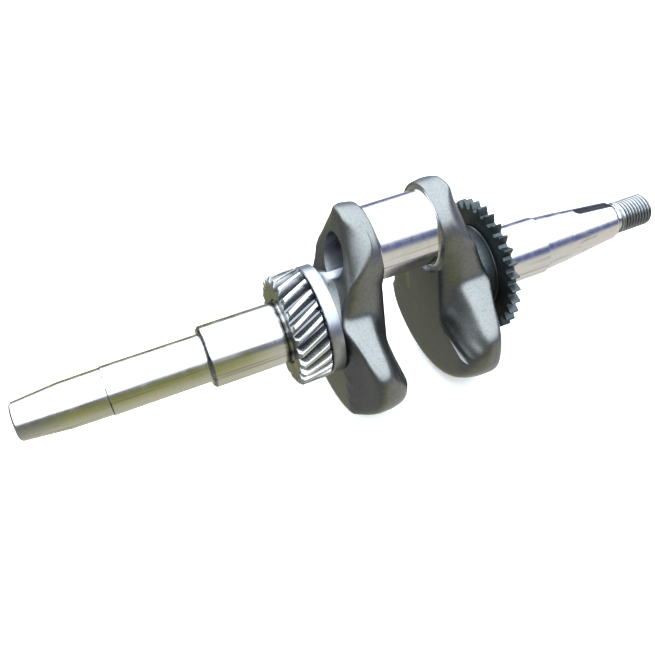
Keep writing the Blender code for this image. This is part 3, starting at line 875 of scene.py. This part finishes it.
def build_timing_gear(materials):
    left, right = TIMING_LOW.x, TIMING_HIGH.x
    width = right - left
    root = TIMING_TIP_R - TIMING_TOOTH_DEPTH
    shares = (TIMING_TIP_SHARE, TIMING_ROOT_SHARE)
    radius, angles = tooth_curve(TIMING_TEETH, TIMING_TIP_R, TIMING_TOOTH_DEPTH, *shares)
    chamfer = TIMING_TOOTH_CHAMFER
    edge = root + 0.6 * TIMING_TOOTH_DEPTH
    cuts = [(left, root - 1.6 * MM), (left, root - 0.6 * MM), (left, edge)]
    cuts += [(left + 0.5 * chamfer, edge + 0.55 * (TIMING_TIP_R - edge))]
    for i in range(TIMING_SLICES + 1):
        x = left + chamfer + (width - 2 * chamfer) * i / TIMING_SLICES
        cuts.append((x, TIMING_TIP_R))
    cuts += [(right - 0.5 * chamfer, edge + 0.55 * (TIMING_TIP_R - edge))]
    cuts += [(right, edge), (right, root - 0.6 * MM)]
    rate = -math.tan(TIMING_HELIX) / TIMING_TIP_R
    stations = [(x, rate * (x - left), cap) for x, cap in cuts]
    sizes = (root - GEAR_FACE_INSET, GEAR_SEAT_R + SEAT_GAP)
    return gear("timing_gear_fine", radius, angles, stations, *sizes, materials)


def build_governor_gear(materials):
    left, right = GOVERNOR_LOW.x, GOVERNOR_HIGH.x
    shares = (GOVERNOR_TIP_SHARE, GOVERNOR_ROOT_SHARE)
    radius, angles = tooth_curve(GOVERNOR_TEETH, GOVERNOR_TIP_R, GOVERNOR_TOOTH_DEPTH, *shares)
    step = left + GOVERNOR_FACE_STEP
    root = GOVERNOR_TIP_R - GOVERNOR_TOOTH_DEPTH
    cuts = [
        (left, GOVERNOR_HUB_R),
        (left + 0.1 * MM, GOVERNOR_HUB_R + 0.15 * MM),
        (step, GOVERNOR_HUB_R + 0.5 * MM),
        (step, root - 0.5 * MM),
        (step, GOVERNOR_TIP_R - GOVERNOR_TOOTH_CHAMFER),
        (step + GOVERNOR_TOOTH_CHAMFER, GOVERNOR_TIP_R),
        (right - GOVERNOR_TOOTH_CHAMFER, GOVERNOR_TIP_R),
        (right, GOVERNOR_TIP_R - GOVERNOR_TOOTH_CHAMFER),
        (right, root - 0.5 * MM),
    ]
    stations = [(x, 0.0, cap) for x, cap in cuts]
    sizes = (root - GEAR_FACE_INSET, GEAR_SEAT_R + SEAT_GAP)
    return gear("governor_gear_fine", radius, angles, stations, *sizes, materials)


def show(piece, node):
    """Puts the piece in the frame, in place of its CAD node."""
    piece.data.shade_smooth()
    piece.data.set_sharp_from_angle(angle=SHARP_ANGLE)
    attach(piece, "root")
    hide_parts(node)


# ---------------------------------------------------------------- light and camera


def sky_ramp(tree, height, stops):
    """A colour ramp over the height of a direction, from stops of (height, colour)."""
    ramp = tree.nodes.new("ShaderNodeValToRGB")
    for i, (z, colour) in enumerate(stops):
        place = (z + 1) / 2
        elements = ramp.color_ramp.elements
        stop = elements[i] if i < 2 else elements.new(place)
        stop.position = place
        stop.color = (*colour, 1.0)
    tree.links.new(height, ramp.inputs["Fac"])
    return ramp.outputs["Color"]


def ramped(tree, value, low, high):
    """0 where the value is at low, 1 where it is at high, clamped beyond them."""
    node = tree.nodes.new("ShaderNodeMapRange")
    node.inputs["From Min"].default_value = low
    node.inputs["From Max"].default_value = high
    tree.links.new(value, node.inputs["Value"])
    return node.outputs["Result"]


def build_world():
    """A bright dome over a darker horizon and a warm grey ground, as a studio shows in steel.
    Along X it goes from a shaded side, past an olive horizon, to a navy one over cream."""
    world = bpy.data.worlds.new("studio")
    bpy.context.scene.world = world
    world.use_nodes = True
    tree = world.node_tree
    where = tree.nodes.new("ShaderNodeTexCoord")
    split = tree.nodes.new("ShaderNodeSeparateXYZ")
    tree.links.new(where.outputs["Generated"], split.inputs[0])
    height = tree.nodes.new("ShaderNodeMapRange")
    height.inputs["From Min"].default_value = -1.0
    height.inputs["From Max"].default_value = 1.0
    tree.links.new(split.outputs["Z"], height.inputs["Value"])
    dome = [(0.33, (1.9, 2.0, 2.1)), (0.46, (3.4, 3.75, 3.95)), (1.0, (3.5, 3.85, 4.05))]
    shaded = [
        (-1.0, (0.42, 0.42, 0.41)),
        (-0.60, (0.34, 0.34, 0.33)),
        (-0.42, (0.28, 0.28, 0.27)),
        (-0.15, (0.22, 0.23, 0.21)),
        (0.08, (0.17, 0.18, 0.16)),
        (0.26, (0.26, 0.27, 0.27)),
    ]
    takeoff = [
        (-1.0, (0.66, 0.65, 0.50)),
        (-0.75, (0.52, 0.52, 0.30)),
        (-0.42, (0.38, 0.39, 0.15)),
        (-0.15, (0.31, 0.32, 0.11)),
        (0.08, (0.22, 0.23, 0.10)),
        (0.26, (0.32, 0.32, 0.36)),
    ]
    flywheel = [
        (-1.0, (0.92, 0.90, 0.84)),
        (-0.50, (0.94, 0.92, 0.84)),
        (-0.20, (0.88, 0.86, 0.76)),
        (-0.08, (0.21, 0.24, 0.48)),
        (0.10, (0.09, 0.11, 0.28)),
        (0.26, (0.34, 0.37, 0.60)),
    ]
    left = ramped(tree, split.outputs["X"], *SHADED_ZONE)
    right = ramped(tree, split.outputs["X"], *NAVY_ZONE)
    colour = sky_ramp(tree, height.outputs["Result"], shaded + dome)
    for side, share in ((takeoff, left), (flywheel, right)):
        join = tree.nodes.new("ShaderNodeMix")
        join.data_type = "RGBA"
        tree.links.new(share, join.inputs["Factor"])
        tree.links.new(colour, join.inputs[6])
        tree.links.new(sky_ramp(tree, height.outputs["Result"], side + dome), join.inputs[7])
        colour = join.outputs[2]
    tree.links.new(colour, tree.nodes["Background"].inputs["Color"])


def build_floor(material):
    """A pale floor under the counterweights."""
    low = FORGING_LOW.z - FLOOR_GAP
    signs = ((-1, -1), (1, -1), (1, 1), (-1, 1))
    corners = [(x * FLOOR_REACH, y * FLOOR_REACH, low) for x, y in signs]
    mesh = bpy.data.meshes.new("floor")
    mesh.from_pydata(corners, [], [(0, 1, 2, 3)])
    mesh.materials.append(material)
    floor = bpy.data.objects.new("floor", mesh)
    bpy.context.scene.collection.objects.link(floor)
    floor.visible_glossy = False
    floor.visible_diffuse = False


def build_backdrop(material):
    """A pale wall all round, coved into the floor. Only the camera sees it, so that the steel
    reflects the studio and not the wall."""
    low = FORGING_LOW.z - FLOOR_GAP
    turns = np.linspace(math.pi / 2, 0, COVE_STEPS)
    cove = [(1.0 - math.cos(turn), 1.0 - math.sin(turn)) for turn in turns]
    profile = [(BACKDROP_R - BACKDROP_COVE * side, low + BACKDROP_COVE * up) for side, up in cove]
    profile.append((BACKDROP_R, low + BACKDROP_HEIGHT))
    angles = np.linspace(0, TURN, BACKDROP_STEPS, endpoint=False)
    reach, up = np.array(profile).T
    rings = np.empty((len(profile), BACKDROP_STEPS, 3))
    rings[..., 0] = reach[:, None] * np.cos(angles)
    rings[..., 1] = reach[:, None] * np.sin(angles)
    rings[..., 2] = up[:, None]
    wall = skin("backdrop", rings, [material], closed_ends=False)
    wall.data.shade_smooth()
    wall.visible_glossy = False
    wall.visible_diffuse = False
    wall.visible_shadow = False


def build_camera():
    """The camera 323 mm from the crank, 38 degrees up, leaning 8 degrees to its left."""
    camera = bpy.data.cameras.new("camera")
    camera.lens = CAMERA_LENS
    camera.sensor_width = CAMERA_SENSOR
    camera.clip_start = CAMERA_NEAR
    holder = bpy.data.objects.new("camera", camera)
    bpy.context.scene.collection.objects.link(holder)
    azimuth, elevation, roll = (math.radians(a) for a in CAMERA_ANGLES)
    target = Vector(CAMERA_TARGET) * MM
    back = Vector(
        (
            math.sin(azimuth) * math.cos(elevation),
            -math.cos(azimuth) * math.cos(elevation),
            math.sin(elevation),
        )
    )
    level = Vector((math.cos(azimuth), math.sin(azimuth), 0.0))
    over = back.cross(level)
    right = level * math.cos(roll) + over * math.sin(roll)
    up = back.cross(right)
    pose = Matrix((right, up, back)).transposed().to_4x4()
    pose.translation = target + back * CAMERA_DISTANCE
    holder.matrix_world = pose
    bpy.context.scene.camera = holder


def main():
    bpy.context.scene.view_settings.view_transform = "Standard"
    black = black_oxide()
    slots = ground_steel(), turned_steel(), forged_scale(), soiled_steel(), keyway_steel()
    forging = build_forging(*slots, black)
    show(forging, "crankshaft_forging")
    show(build_timing_gear([gear_steel()]), "timing_gear")
    show(build_governor_gear([black]), "governor_drive_gear")
    pale = pale_floor()
    build_floor(pale)
    build_backdrop(pale)
    build_world()
    build_camera()


main()
